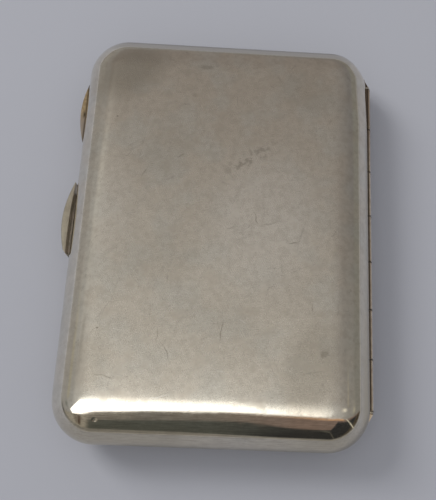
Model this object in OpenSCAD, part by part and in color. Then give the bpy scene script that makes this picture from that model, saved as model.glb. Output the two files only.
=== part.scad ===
// Pocket cigarette case: two pressed silver halves on a seven-knuckle side hinge,
// with a sprung thumb catch on the other long side.
// It lies on its back: the outer face of the base is at z = 0 and the lid faces up.
// The hinge side is at +X, the thumb-piece side at -X, and the hinge runs along Y.

/* [Case] */
// Length of the case over its rims, along the hinge
case_l = 84.5; // [80:0.5:110]
// Width of the case over its rims
case_w = 60; // [50:0.5:90]
// Height of each half, from its outer face to its rim
half_h = 6.6; // [6.2:0.1:6.9]
// Thickness of the silver sheet
wall = 0.6; // [0.45:0.05:0.7]
// Radius of the four corners, seen from above
corner_r = 8.5; // [8.2:0.1:12]
// Radius of the soft edge that runs round each face
edge_r = 8; // [7.2:0.1:8.1]
// Gap between the two rims when the case is shut
seam_gap = 0.06; // [0.02:0.02:0.2]

/* [Bezel] */
// Thickness of the gilt bezel strip inside the base
bezel_t = 0.4; // [0.3:0.05:0.5]
// Height that the bezel stands above the rim of the base
bezel_rise = 1.2; // [0.6:0.1:1.4]
// Depth that the bezel reaches below the rim of the base
bezel_drop = 1.4; // [1.2:0.1:1.5]
// Clearance between the bezel and the inside of the walls
bezel_gap = 0.1; // [0.05:0.05:0.2]
// Distance from the hinge-side rim line to the open ends of the bezel
bezel_end = 4; // [3:0.5:8]

/* [Hinge] */
// Length of the hinge barrel
hinge_l = 68.8; // [60:0.2:72]
// Number of knuckles, an odd number
knuckle_n = 7; // [5:2:9]
// Outer radius of the knuckle tubes
barrel_r = 0.65; // [0.6:0.05:0.75]
// Radius of the hinge pin
pin_r = 0.3; // [0.25:0.05:0.35]
// Radial clearance between the pin and the knuckles
pin_gap = 0.03; // [0.02:0.01:0.05]
// Gap between neighbouring knuckles
knuckle_gap = 0.1; // [0.05:0.05:0.2]
// Radial clearance round the knuckles of the other half
barrel_gap = 0.12; // [0.08:0.02:0.16]
// Distance that the hinge axis lies inside the rim line
hinge_inset = 0.15; // [0.1:0.05:0.2]
// Thickness of the domed plugs that close the barrel
plug_t = 0.45; // [0.3:0.05:0.6]

/* [Bearers] */
// Radius of the rounded moulding that carries the hinge on the base
bearer_r = 1.6; // [1.5:0.05:1.65]
// Distance that the moulding stands out past the rim line
bearer_out = 0.8; // [0.6:0.05:0.8]
// Depth of the moulding's widest line below the hinge axis
bearer_sink = 1.1; // [1.1:0.05:1.2]
// Distance that the moulding reaches inwards from the hinge axis
bearer_in = 1.3; // [1.2:0.05:1.5]
// Drop of the moulding's flat top below the seam
bearer_top = 0.15; // [0.1:0.05:0.25]
// Length of the slanting cut at each end of the moulding
bearer_taper = 3.8; // [3.2:0.1:4]
// Height of the bearer strip inside the lid
lid_bearer_h = 1.8; // [1.4:0.1:2]
// Thickness of the bearer strip inside the lid
lid_bearer_t = 0.8; // [0.6:0.1:1]

/* [Thumb catch] */
// Centre of the thumb-piece along the case
thumb_y = 0.75; // [-5:0.25:5]
// Distance that the thumb-piece stands out past the rim line
thumb_out = 2.2; // [1.6:0.1:3]
// Open gap between the thumb-piece and the rim line, which the push closes
thumb_gap = 0.75; // [0.7:0.01:0.8]
// Radius of the crescent edge of the thumb-piece
thumb_r = 24; // [20:0.2:26]
// Angle by which the free end of the thumb-piece stands off further than the other
thumb_turn = 1.5; // [0:0.1:1.6]
// Height that the thumb-piece stands above the seam
thumb_rise = 0.8; // [0.4:0.1:1.2]
// Depth that the thumb-piece reaches below the seam
thumb_drop = 2.7; // [2.6:0.1:3.2]
// Radius of the rounding along the crescent edge
thumb_round = 0.6; // [0.3:0.1:0.8]
// Length of the flat stem that passes through the wall, along the case
stem_l = 13; // [6:0.5:13]
// Height of the stem
stem_h = 0.8; // [0.6:0.1:0.9]
// Depth of the top of the stem below the seam
stem_drop = 1.65; // [1.6:0.05:1.7]
// Clearance between the stem and its slot in the wall
stem_gap = 0.15; // [0.1:0.05:0.2]
// Distance from the rim line to the outer face of the catch spring
spring_in = 2.45; // [2.4:0.05:2.8]
// Thickness of the catch spring
spring_t = 0.35; // [0.3:0.05:0.45]
// Depth of the top edge of the spring below the seam
spring_drop = 1.1; // [1.05:0.05:1.2]
// Height of the catch spring
spring_h = 1.8; // [1.6:0.1:2]
// Distance from the spring's turning point to the centre of the thumb-piece
spring_arm = 14; // [13:0.5:14]
// Length of the spring past its turning point
spring_tail = 2.6; // [2.4:0.1:2.8]
// Clearance between the spring and its mounting block
block_gap = 0.08; // [0.07:0.01:0.12]
// Distance between the two rivets that hold the spring
rivet_pitch = 2.6; // [2.4:0.1:3]
// Radius of the rivets
rivet_r = 0.35; // [0.3:0.05:0.4]
// Radial clearance of the spring's holes round the rivets
rivet_gap = 0.1; // [0.08:0.02:0.14]
// Radius of the rivet heads
head_r = 0.65; // [0.6:0.05:0.75]
// Height of the rivet heads
head_h = 0.3; // [0.2:0.05:0.4]
// Length of the keeper on the lid
keeper_l = 8; // [7:0.5:12]
// Thickness of the keeper
keeper_t = 0.4; // [0.3:0.05:0.45]
// Distance from the rim line to the outer face of the keeper
keeper_in = 1.6; // [1.6:0.02:1.7]
// Depth that the keeper hangs below the seam
keeper_drop = 1.35; // [1.3:0.05:1.4]
// Height that the keeper reaches above the seam
keeper_rise = 2.5; // [2.3:0.1:2.5]
// Height of the lip below the keeper's window
keeper_lip = 0.36; // [0.3:0.02:0.4]
// Length of the nib that the keeper's window takes
nib_l = 4.4; // [3:0.2:5]
// Height of the nib
nib_h = 0.46; // [0.4:0.02:0.5]
// Distance that the nib reaches past the inner face of the keeper
nib_bite = 0.26; // [0.2:0.02:0.26]
// Clearance round the nib in the keeper's window
nib_gap = 0.08; // [0.06:0.02:0.1]

/* [Retaining strap] */
// Centre of the strap along the case
strap_y = 25.3; // [20:0.5:26]
// Width of the elastic strap
strap_w = 12.7; // [10:0.1:13]
// Thickness of the elastic strap
strap_t = 0.6; // [0.5:0.05:0.7]
// Width of the gilt plates that hold the ends of the strap
plate_w = 14.6; // [14:0.1:16]
// Thickness of the gilt plates
plate_t = 0.48; // [0.4:0.02:0.5]
// Depth of the top of the plates below the seam
plate_drop = 0.1; // [0.08:0.02:0.12]
// Distance that the crescent of the front plate stands out past the rim line
plate_out = 1.3; // [0.8:0.1:1.6]
// Distance that both plates reach in from the rim line
plate_in = 4.6; // [4.2:0.1:6]
// Clearance between the front plate and its notch in the rim
notch_gap = 0.05; // [0.04:0.01:0.1]
// Distance from the rim line to each end of the strap
strap_end = 1.6; // [1.55:0.05:1.7]
// Distance from the rim line to the rivets of the strap
rivet_line = 3.1; // [2.8:0.1:3.5]

/* [Hidden] */

silver = "#b9b3a6";
gilt = "#c39a4a";
elastic = "#c9b88a";
steel = "#8f9296";

$fn = 64;
fine_fn = 160;

// Clearance between pieces that are soldered together
solder_gap = 0.02;
// Length by which cutting shapes pass the surfaces that they cut
over = 1;
// Depth to which the stem is let into the thumb-piece
stem_bite = 0.25;

front_x = -case_w / 2;
back_x = case_w / 2;
seam_z = half_h;
lid_rim_z = half_h + seam_gap;
top_z = 2 * half_h + seam_gap;
rim_lift = edge_r - half_h;
edge_w = arc_reach(edge_r, 0);
flat_x = case_w / 2 - edge_w;
flat_y = case_l / 2 - edge_w;

hinge_x = back_x - hinge_inset;
hinge_z = seam_z + seam_gap / 2;
end_room = plug_t + 2 * solder_gap;
bearer_x = bearer_out + hinge_inset - bearer_r;
bearer_z = -bearer_sink;
bearer_half = hinge_l / 2 + end_room;
bearer_floor = bearer_z - bearer_r;

spring_x = front_x + spring_in;
spring_root_y = thumb_y + spring_arm;
spring_top = seam_z - spring_drop;
spring_mid = spring_top - spring_h / 2;
stem_top = seam_z - stem_drop;
keeper_x = front_x + keeper_in;
nib_x = keeper_x + keeper_t - nib_bite;
nib_z = seam_z - keeper_drop + keeper_lip + nib_gap;
plate_z = seam_z - plate_drop - plate_t;
plate_r = (plate_w * plate_w / 4 + plate_out * plate_out) / (2 * plate_out);
strap_z = plate_z - solder_gap - strap_t;

// Half-width of a sheet surface of radius r at a depth below its rim
function arc_reach(r, depth) = sqrt(r * r - pow(rim_lift + depth, 2));
// Distance from the rim line to the inside of the wall, at a depth below the rim
function wall_inset(depth) = edge_w - arc_reach(edge_r - wall, depth);
// Start of a knuckle along the hinge
function knuckle_y(i) = -hinge_l / 2 + i * hinge_l / knuckle_n;

// Rectangle with round corners, centred
module round_rect(w, l, r) {
    square([w - 2 * r, l], center = true);
    square([w, l - 2 * r], center = true);
    for (x = [-1, 1], y = [-1, 1])
        translate([x * (w / 2 - r), y * (l / 2 - r)])
            circle(r);
}

// Cylinder along Y on the hinge axis, from y0 with a given length
module along_hinge(r, y0, length) {
    translate([hinge_x, y0, hinge_z])
        rotate([-90, 0, 0])
            cylinder(r = r, h = length);
}

// Cross-section of the soft edge, from the flat face out to the rim
module edge_section() {
    intersection() {
        translate([0, edge_r])
            difference() {
                circle(edge_r, $fn = fine_fn);
                circle(edge_r - wall, $fn = fine_fn);
            }
        square([edge_r, half_h]);
    }
}

// One pressed half with its face down and its rim up
module half_shell() {
    linear_extrude(wall)
        round_rect(2 * flat_x, 2 * flat_y, corner_r - edge_w);
    for (k = [0 : 3]) {
        side_l = (k % 2 == 0 ? case_l : case_w) - 2 * corner_r;
        side_off = k % 2 == 0 ? flat_x : flat_y;
        rotate([0, 0, 90 * k])
            translate([side_off, 0, 0])
                rotate([90, 0, 0])
                    linear_extrude(side_l, center = true)
                        edge_section();
    }
    for (k = [0 : 3]) {
        x_side = k == 0 || k == 3 ? 1 : -1;
        y_side = k < 2 ? 1 : -1;
        translate([x_side * (case_w / 2 - corner_r), y_side * (case_l / 2 - corner_r), 0])
            rotate([0, 0, 90 * k])
                rotate_extrude(angle = 90, $fn = fine_fn)
                    translate([corner_r - edge_w, 0])
                        edge_section();
    }
}

// Section of the base moulding about the hinge axis, with its top cut flat
module bearer_section(grow, top) {
    intersection() {
        translate([bearer_x, bearer_z])
            circle(bearer_r + grow);
        translate([-bearer_in - grow, bearer_floor - over])
            square([bearer_in + bearer_r + over, top - bearer_floor + over]);
    }
}

// Plan of the base moulding, whose ends are cut on the slant
module bearer_plan(grow) {
    outer_x = bearer_x + bearer_r + grow;
    inner_x = -bearer_in - grow;
    half = hinge_l / 2 + grow;
    polygon([
        [outer_x, -half], [outer_x, half],
        [inner_x, half + bearer_taper], [inner_x, -half - bearer_taper]
    ]);
}

// The moulding as a solid, larger by grow and cut off at top
module bearer_solid(grow, top) {
    translate([hinge_x, 0, hinge_z])
        intersection() {
            rotate([90, 0, 0])
                linear_extrude(2 * (bearer_half + bearer_taper + over), center = true)
                    bearer_section(grow, top);
            translate([0, 0, -half_h])
                linear_extrude(2 * half_h)
                    bearer_plan(grow);
        }
}

// Grooves for the knuckles: tight where they are soldered, free for the other half's
module knuckle_grooves(own) {
    along_hinge(barrel_r + solder_gap, -bearer_half, 2 * bearer_half);
    for (i = [0 : knuckle_n - 1])
        if (i % 2 != own)
            along_hinge(barrel_r + barrel_gap, knuckle_y(i) - knuckle_gap, hinge_l / knuckle_n + 2 * knuckle_gap);
}

// Every second knuckle tube, the first one being number own
module knuckles(own) {
    for (i = [own : 2 : knuckle_n - 1])
        difference() {
            along_hinge(barrel_r, knuckle_y(i) + knuckle_gap / 2, hinge_l / knuckle_n - knuckle_gap);
            along_hinge(pin_r + pin_gap, knuckle_y(i) - over, hinge_l / knuckle_n + 2 * over);
        }
}

// Rivet along X with its shank starting at x0 and a domed head at its far end
module rivet(length) {
    rotate([0, 90, 0])
        cylinder(r = rivet_r, h = length);
    translate([length, 0, 0])
        rotate([0, 90, 0])
            rivet_head();
}

// Domed rivet head standing on the XY plane
module rivet_head() {
    dome_r = (head_r * head_r + head_h * head_h) / (2 * head_h);
    rotate_extrude()
        intersection() {
            translate([0, head_h - dome_r])
                circle(dome_r);
            square([head_r, head_h]);
        }
}

// Base half
module base_shell() {
    color(silver)
        difference() {
            half_shell();
            bearer_seat();
            stem_slot();
            plate_notch();
        }
}

// Seat of the moulding, where the wall of the base is cut down to its rim
module bearer_seat() {
    bearer_solid(solder_gap, bearer_z + solder_gap);
    translate([hinge_x, 0, hinge_z + bearer_z])
        linear_extrude(over - bearer_z)
            bearer_plan(solder_gap);
}

// Slot in the front wall for the stem of the thumb-piece
module stem_slot() {
    translate([front_x - over, thumb_y - stem_l / 2 - 2 * stem_gap, stem_top - stem_h - stem_gap])
        cube([over + spring_in, stem_l + 4 * stem_gap, stem_h + 2 * stem_gap]);
}

// Notch in the front rim for the strap's crescent plate
module plate_notch() {
    translate([front_x - over, strap_y - plate_w / 2 - 2 * notch_gap, plate_z - notch_gap])
        cube([over + spring_in, plate_w + 4 * notch_gap, half_h]);
}

// Gilt bezel round three sides of the base, which the lid closes over
module base_bezel() {
    inset = wall_inset(bezel_rise) + bezel_gap;
    color(gilt)
        difference() {
            translate([0, 0, seam_z - bezel_drop])
                linear_extrude(bezel_rise + bezel_drop)
                    difference() {
                        round_rect(case_w - 2 * inset, case_l - 2 * inset, corner_r - inset);
                        round_rect(
                            case_w - 2 * (inset + bezel_t), case_l - 2 * (inset + bezel_t),
                            corner_r - inset - bezel_t
                        );
                    }
            translate([back_x - bezel_end, -case_l / 2, 0])
                cube([bezel_end + over, case_l, top_z]);
            plate_notch();
        }
}

// Moulding on the base that carries the hinge
module base_bearer() {
    color(silver)
        difference() {
            bearer_solid(0, -bearer_top);
            knuckle_grooves(0);
        }
}

module base_knuckles() {
    color(silver)
        knuckles(0);
}

module hinge_pin() {
    color(silver)
        along_hinge(pin_r, -hinge_l / 2, hinge_l);
}

// Domed plugs that close the two ends of the barrel
module hinge_plugs() {
    dome_r = 2 * barrel_r;
    color(silver)
        for (side = [0, 1])
            mirror([0, side, 0])
                translate([hinge_x, hinge_l / 2 + solder_gap, hinge_z])
                    rotate([-90, 0, 0])
                        rotate_extrude()
                            intersection() {
                                translate([0, plug_t - dome_r])
                                    circle(dome_r);
                                square([barrel_r, plug_t]);
                            }
}

// Elastic strap that holds the cigarettes in the base
module retaining_strap() {
    color(elastic)
        difference() {
            translate([0, strap_y, strap_z])
                rotate([90, 0, 90])
                    linear_extrude(case_w - 2 * strap_end, center = true)
                        hull() {
                            for (side = [-1, 1])
                                translate([side * (strap_w - strap_t) / 2, strap_t / 2])
                                    circle(strap_t / 2, $fn = 24);
                        }
            strap_rivet_places()
                rivet_hole();
        }
}

// Places of the four rivets through the strap's end plates
module strap_rivet_places() {
    for (x = [front_x + rivet_line, back_x - rivet_line], y = [-1, 1])
        translate([x, strap_y + y * strap_w / 4, strap_z])
            children();
}

// Upright hole for a strap rivet
module rivet_hole() {
    translate([0, 0, -over])
        cylinder(r = rivet_r + solder_gap, h = strap_t + plate_t + 2 * over);
}

// Gilt plate at the front end of the strap, whose crescent edge shows outside
module strap_front_plate() {
    color(gilt)
        difference() {
            intersection() {
                translate([front_x - plate_out + plate_r, strap_y, plate_z])
                    rotate_extrude($fn = fine_fn) {
                        square([plate_r - plate_t / 2, plate_t]);
                        translate([plate_r - plate_t / 2, plate_t / 2])
                            circle(plate_t / 2);
                    }
                translate([front_x - plate_out, strap_y - plate_w / 2, plate_z])
                    cube([plate_out + plate_in, plate_w, plate_t]);
            }
            strap_rivet_places()
                rivet_hole();
        }
}

// Gilt plate at the hinge end of the strap
module strap_back_plate() {
    start = back_x - plate_in;
    reach = plate_in - hinge_inset - bearer_in - solder_gap;
    color(gilt)
        difference() {
            translate([start + reach / 2, strap_y, plate_z])
                linear_extrude(plate_t)
                    round_rect(reach, plate_w, plate_t);
            strap_rivet_places()
                rivet_hole();
        }
}

// Four rivets through the strap and its plates, with their heads below
module strap_rivets() {
    color(gilt)
        strap_rivet_places() {
            translate([0, 0, -solder_gap])
                cylinder(r = rivet_r, h = strap_t + plate_t + 2 * solder_gap);
            translate([0, 0, -solder_gap])
                mirror([0, 0, 1])
                    rivet_head();
        }
}

// Block on the front wall that the catch spring is riveted to
module catch_block() {
    block_l = rivet_pitch + 2 * head_r;
    block_floor = spring_top - spring_h + block_gap;
    block_top = seam_z - bezel_drop - solder_gap;
    color(silver)
        difference() {
            intersection() {
                translate([front_x, spring_root_y - block_l / 2, block_floor])
                    cube([spring_in - block_gap, block_l, block_top - block_floor]);
                translate([front_x + edge_w, 0, edge_r])
                    rotate([90, 0, 0])
                        cylinder(r = edge_r - wall - solder_gap, h = case_l, center = true, $fn = fine_fn);
            }
            for (side = [-1, 1])
                translate([front_x, spring_root_y + side * rivet_pitch / 2, spring_mid])
                    rotate([0, 90, 0])
                        cylinder(r = rivet_r + solder_gap, h = spring_in);
        }
}

// Two rivets that hold the root of the catch spring
module catch_rivets() {
    start = front_x + wall_inset(spring_drop + spring_h / 2) + wall / 2;
    color(steel)
        for (side = [-1, 1])
            translate([start, spring_root_y + side * rivet_pitch / 2, spring_mid])
                rivet(spring_x + spring_t + block_gap - start);
}

// Lid half
module lid_shell() {
    color(silver)
        difference() {
            translate([0, 0, top_z])
                mirror([0, 0, 1])
                    half_shell();
            along_hinge(barrel_r + barrel_gap, -bearer_half - barrel_gap, 2 * (bearer_half + barrel_gap));
        }
}

// Strip inside the lid's wall that carries its knuckles
module lid_bearer() {
    bearer_l = min(case_l - 2 * corner_r, hinge_l);
    inner_x = back_x - wall_inset(lid_bearer_h) - lid_bearer_t;
    color(silver)
        difference() {
            intersection() {
                translate([inner_x, -bearer_l / 2, lid_rim_z])
                    cube([back_x - inner_x, bearer_l, lid_bearer_h]);
                translate([back_x - edge_w, 0, top_z - edge_r])
                    rotate([90, 0, 0])
                        cylinder(r = edge_r - wall - solder_gap, h = case_l, center = true, $fn = fine_fn);
            }
            knuckle_grooves(1);
        }
}

module lid_knuckles() {
    color(silver)
        knuckles(1);
}

// Windowed plate inside the lid's front wall that the nib locks under
module catch_keeper() {
    window_l = nib_l + 4 * nib_gap;
    window_h = nib_h + 2 * nib_gap;
    color(gilt)
        difference() {
            translate([keeper_x, thumb_y - keeper_l / 2, seam_z - keeper_drop])
                cube([keeper_t, keeper_l, keeper_drop + keeper_rise]);
            translate([keeper_x - over, thumb_y - window_l / 2, nib_z - nib_gap])
                cube([keeper_t + 2 * over, window_l, window_h]);
        }
}

// Leaf spring that carries the thumb-piece and the nib
module catch_spring() {
    end_y = thumb_y - stem_l / 2;
    tab_top = nib_z + nib_h;
    color(steel)
        difference() {
            union() {
                translate([spring_x, end_y, spring_top - spring_h])
                    cube([spring_t, spring_root_y + spring_tail - end_y, spring_h]);
                translate([spring_x, thumb_y - nib_l / 2, spring_mid])
                    cube([spring_t, nib_l, tab_top - spring_mid]);
            }
            for (side = [-1, 1])
                translate([spring_x - over, spring_root_y + side * rivet_pitch / 2, spring_mid])
                    rotate([0, 90, 0])
                        cylinder(r = rivet_r + rivet_gap, h = spring_t + 2 * over);
            translate([spring_x - over, thumb_y, stem_top - stem_h / 2])
                rotate([0, 90, 0])
                    cylinder(r = pin_r + solder_gap, h = spring_t + 2 * over);
        }
}

// Nib on the spring that locks in the keeper's window
module catch_nib() {
    color(steel)
        translate([nib_x, thumb_y - nib_l / 2, nib_z])
            cube([spring_x - solder_gap - nib_x, nib_l, nib_h]);
}

// Crescent thumb-piece with the stem that joins it to the spring
module thumb_piece() {
    height = thumb_rise + thumb_drop;
    reach = thumb_out - thumb_gap;
    color(silver)
        difference() {
            union() {
                translate([front_x, thumb_y, seam_z - thumb_drop])
                    rotate([0, 0, -thumb_turn])
                        intersection() {
                            translate([thumb_r - thumb_out, 0, 0])
                                rotate_extrude($fn = fine_fn)
                                    translate([thumb_r - 2 * thumb_out, 0])
                                        thumb_section(2 * thumb_out, height);
                            translate([-thumb_out - over, -thumb_r, 0])
                                cube([reach + over, 2 * thumb_r, height]);
                        }
                translate([front_x - thumb_gap - stem_bite, thumb_y - stem_l / 2, stem_top - stem_h])
                    cube([thumb_gap + stem_bite + spring_in - solder_gap, stem_l, stem_h]);
            }
            translate([spring_x - 2 * thumb_gap, thumb_y, stem_top - stem_h / 2])
                rotate([0, 90, 0])
                    cylinder(r = pin_r + solder_gap, h = 2 * thumb_gap);
        }
}

// Section of the thumb-piece's rim: a strip with its outer edges rounded
module thumb_section(w, h) {
    square([w - thumb_round, h]);
    translate([0, thumb_round])
        square([w, h - 2 * thumb_round]);
    for (z = [thumb_round, h - thumb_round])
        translate([w - thumb_round, z])
            circle(thumb_round);
}

// Small rivet that joins the stem to the spring
module thumb_rivet() {
    shank = thumb_gap + spring_t;
    color(steel)
        translate([spring_x - thumb_gap, thumb_y, stem_top - stem_h / 2]) {
            rotate([0, 90, 0])
                cylinder(r = pin_r, h = shank + solder_gap);
            translate([shank + solder_gap, 0, 0])
                rotate([0, 90, 0])
                    rivet_head();
        }
}

base_shell();
base_bezel();
base_bearer();
base_knuckles();
hinge_pin();
hinge_plugs();
retaining_strap();
strap_front_plate();
strap_back_plate();
strap_rivets();
catch_block();
catch_rivets();
lid_shell();
lid_bearer();
lid_knuckles();
catch_keeper();
catch_spring();
catch_nib();
thumb_piece();
thumb_rivet();
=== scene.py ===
"""Looks of a pressed-silver pocket cigarette case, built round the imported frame."""
import math

import bmesh
import bpy
from mathutils import Matrix, Vector, noise


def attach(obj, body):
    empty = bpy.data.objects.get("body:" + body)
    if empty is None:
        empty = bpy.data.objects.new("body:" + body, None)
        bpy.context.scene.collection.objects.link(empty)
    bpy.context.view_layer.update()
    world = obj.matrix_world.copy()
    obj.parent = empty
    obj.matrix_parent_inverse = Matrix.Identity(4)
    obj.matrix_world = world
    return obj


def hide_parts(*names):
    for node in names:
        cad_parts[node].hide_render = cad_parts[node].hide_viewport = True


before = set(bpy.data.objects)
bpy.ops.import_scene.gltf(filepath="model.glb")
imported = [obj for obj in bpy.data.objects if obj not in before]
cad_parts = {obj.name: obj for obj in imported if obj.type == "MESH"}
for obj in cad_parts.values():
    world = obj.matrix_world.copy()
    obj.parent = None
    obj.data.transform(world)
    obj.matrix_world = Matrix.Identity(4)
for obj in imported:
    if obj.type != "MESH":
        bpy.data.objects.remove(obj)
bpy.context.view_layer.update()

# Sizes and places are in millimetres, as the frame has them, unless a heading says otherwise
MM = 0.001

# Case over its rims, and the sheet that its halves are pressed from
CASE_L = 84.5
CASE_W = 60.0
HALF_H = 6.6
TOP_Z = 13.26
WALL = 0.6
CORNER_R = 8.5

# Hinge: its axis, its row of knuckles and the groove for them in the lid
HINGE_X = 29.85
HINGE_Z = 6.63
HINGE_HALF = 34.89
KNUCKLE_ROW = 68.8
KNUCKLE_L = KNUCKLE_ROW / 7
GROOVE_R = 0.77
GROOVE_END_GAP = 0.12

# Seat of the hinge moulding in the base's wall, with ends cut on the slant
MOULDING_R = 1.62
MOULDING_X = 29.2
MOULDING_Z = 5.53
MOULDING_OUT = 30.82
MOULDING_IN = 28.53
MOULDING_HALF = 34.42
MOULDING_TAPER = 3.8
SEAT_TOP_Z = 8.0
SEAT_PAST = 1.0
SEAT_STEPS = 12

# Openings in the base's front wall for the catch's stem and the strap's plate, as two corners each
SLOT_LOW, SLOT_HIGH = (-33.0, -6.05, 4.0), (-27.0, 7.55, 5.1)
NOTCH_LOW, NOTCH_HIGH = (-33.0, 17.9, 5.97), (-27.0, 32.7, 9.0)

# Thumb-piece: a crescent plate, the slanted cut at its near end, and its stem as two corners
THUMB_Y = 1.1
THUMB_OUT_X = -32.2
THUMB_IN_X = -30.75
THUMB_HALF_L = 8.0
THUMB_SAG = 1.7
THUMB_CURL = 0.3
THUMB_CURL_AT_CUT = 0.8
THUMB_TURN = math.radians(-1.5)
THUMB_CUT_X, THUMB_CUT_Y, THUMB_CUT_SLOPE = -31.4, -5.05, 0.85
THUMB_LOW_Z, THUMB_HIGH_Z = 3.9, 7.4
THUMB_ROUND = 0.45
THUMB_ROUND_SHARE = 0.42
THUMB_ROUND_STEPS = 8
THUMB_TOP_SHARE, THUMB_TOP_FALL, THUMB_IN_FALL = 0.7, 0.01, 0.06
THUMB_TIP_SHARE = 0.985
THUMB_MIN_W = 0.04
THUMB_STATIONS = 64
STEM_LOW, STEM_HIGH = (THUMB_IN_X - 0.25, -5.75, 4.15), (-27.57, 7.25, 4.95)

# Elastic strap and its weave: ribs along it, points across a rib, steps along it, and their depths
STRAP_Y = 25.3
STRAP_W = 12.7
STRAP_HALF_L = 28.4
STRAP_LOW_Z = 5.4
STRAP_T = 0.6
STRAP_RIBS = 17
RIB_POINTS = 6
THREAD_STEP = 0.35
STRAP_EDGE = 0.35
RIB_DEPTH = 0.07
THREAD_DEPTH = 0.03

# Form of the soft edge: the angle that it turns through, and how gently it starts
EDGE_TURN = math.radians(79.9)
EDGE_EASE = 1.22
EDGE_STEPS = 400
EDGE_RINGS = 30
GRID_STEP = 1.0

# Slow unevenness of the pressed face: depth, size of its waves, and the finer waves' share and factor
DENT_DEPTH = 0.05
DENT_SIZE = 17.0
DENT_FINE_SHARE, DENT_FINE_FACTOR = 0.7, 2.1
DENT_SLICE = 3.7

# Far corner of the lid at the hinge: how far it is drawn in, and where that starts along and across
DRAW_IN = 0.28
DRAW_START_Y, DRAW_LENGTH = 23.0, 11.0
DRAW_START_X, DRAW_WIDTH = 24.0, 4.0

# Rounding of the edges of the carried-over pieces
ROUND_SOFT = 0.04
ROUND_FINE = 0.03

# Marks of wear on the lid: x, y, half-length, half-width, turn in degrees, strength (minus is bright)
MARKS = [
    (1.2, -21.3, 2.7, 0.13, -96, 0.70), (0.5, -20.1, 1.4, 0.12, -74, 0.35),
    (4.9, -19.3, 1.0, 0.16, -32, -0.60), (18.1, -28.3, 3.3, 0.11, 7, 0.40),
    (0.9, -28.5, 3.1, 0.12, -21, -0.35), (17.9, -16.3, 1.0, 0.13, -93, 0.60),
    (-19.6, -30.4, 2.8, 0.12, -8, 0.45), (-8.8, -25.5, 2.6, 0.13, -57, 0.50),
    (-9.6, -33.7, 2.6, 0.16, 12, -0.60), (-12.1, -18.3, 1.9, 0.12, -90, 0.35),
    (-10.7, -22.6, 2.1, 0.12, -83, 0.35), (6.6, 0.9, 2.0, 0.12, -73, 0.55),
    (9.6, 0.0, 3.0, 0.11, 18, 0.35), (14.0, -3.7, 1.2, 0.13, 5, 0.60),
    (-8.7, 13.5, 1.4, 0.13, 39, 0.50), (-16.6, 12.9, 1.2, 0.13, 43, -0.45),
    (-15.7, 9.5, 1.2, 0.14, 60, 0.50), (-21.6, -21.7, 0.3, 0.24, 0, 0.80),
    (-22.1, 21.3, 0.3, 0.26, 40, 0.70), (20.2, -24.8, 1.1, 0.8, 10, 0.45),
    (-4.8, 33.7, 1.7, 0.8, -12, 0.30), (-6.8, 27.1, 0.9, 0.9, 0, 0.22),
]

# Noise that bends the marks, and its mean, by which they would otherwise lie off their places
BEND_SCALE = 0.45
BEND_MEAN = 0.5

# Broad places on the lid where its tone is lighter or darker: x, y, half-length, half-width, turn, share
LIGHTER_PLACES = [(8.5, 1.0, 19.0, 15.0, 80, 0.75), (-21.5, 3.0, 14.0, 5.0, 88, 0.35)]
DARKER_PLACES = [
    (-20.3, 32.0, 11.5, 7.5, 40, 0.75), (17.8, -27.5, 13.0, 7.5, 75, 0.55),
    (-22.5, -28.0, 8.0, 5.0, 75, 0.35), (-3.0, -22.0, 22.0, 11.0, 0, 0.15),
    (-11.5, 14.5, 9.0, 7.0, 50, 0.22), (-11.5, -8.0, 10.0, 8.0, 20, 0.22),
    (16.0, 29.0, 10.0, 6.0, -20, 0.30),
]

# A cluster of specks on the face and a small ding in the near edge: x, y, half-length, half-width, turn
SPECKS = (5.0, 13.4, 7.5, 2.2, 35)
DING = (-20.6, -38.0, 0.6, 0.45, 0)
DING_DEPTH = 0.045

# Fine scratches, a layer a row: turn in degrees, length, spacing, width, share of the face, shift
SCRATCHES = [
    (28, 14, 1.6, 0.008, 0.44, (0, 0, 0)), (-47, 12, 1.4, 0.008, 0.44, (11, 5, 0)),
    (78, 16, 1.8, 0.008, 0.44, (3, 17, 0)), (-12, 10, 1.3, 0.007, 0.42, (23, 9, 0)),
]
HAIRLINE_TURNS = (12, -61)

# Strength of the layers of wear on the silver
WEAR = {"stain": 0.30, "mottle": 0.25, "scratch": 0.38, "comb": 0.45, "speck": 0.42}

# Stretches over which the silver's tone, wear, tarnish and painted shade set in, from none to full, along
# the axis that each names
WARM_Y = (-36.0, 40.0)
NEAR_END_Y = (-36.5, -41.0)
HINGE_SIDE_X, HINGE_SIDE_Y = (27.2, 28.6), (-4.0, -38.0)
FAR_EDGE_SHADE_Y = (37.4, 38.8)
FAR_LIP_SHADE_Y = (39.2, 40.6)
COMB_Y = (-35.5, -37.0)
FACE_Z = (12.0, 12.6)
LID_Z = (8.0, 9.0)

# The same for the hinge: paler outside, browner far end, and the dark line beside the lid, tarnish in the
# crevice with painted shade
OUTSIDE_X = (30.38, 30.5)
BROWN_Y = (14.0, 27.0)
JOINT_X, JOINT_Y = (29.5, 29.8), (-35.0, -34.0)

# Stretches over which that line, and the tarnish and painted shade in the gaps between knuckles, fade out
# again
JOINT_FADE_X = (29.98, 30.16)
GAP_FADE = (0.1, 0.28)

# The same for the gilt crescent, with the middle and half-width of its dark inner edge, tarnish with painted
# shade, and of a spot of painted shadow
CRESCENT_NEAR_Y, CRESCENT_FAR_Y = (26.5, 22.5), (30.6, 31.8)
CRESCENT_EDGE_X, CRESCENT_EDGE_HALF = -30.15, 0.4
CRESCENT_SHADOW_SPOT, CRESCENT_SHADOW_SPOT_HALF = (-30.4, 24.9), (0.5, 1.3)

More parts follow.
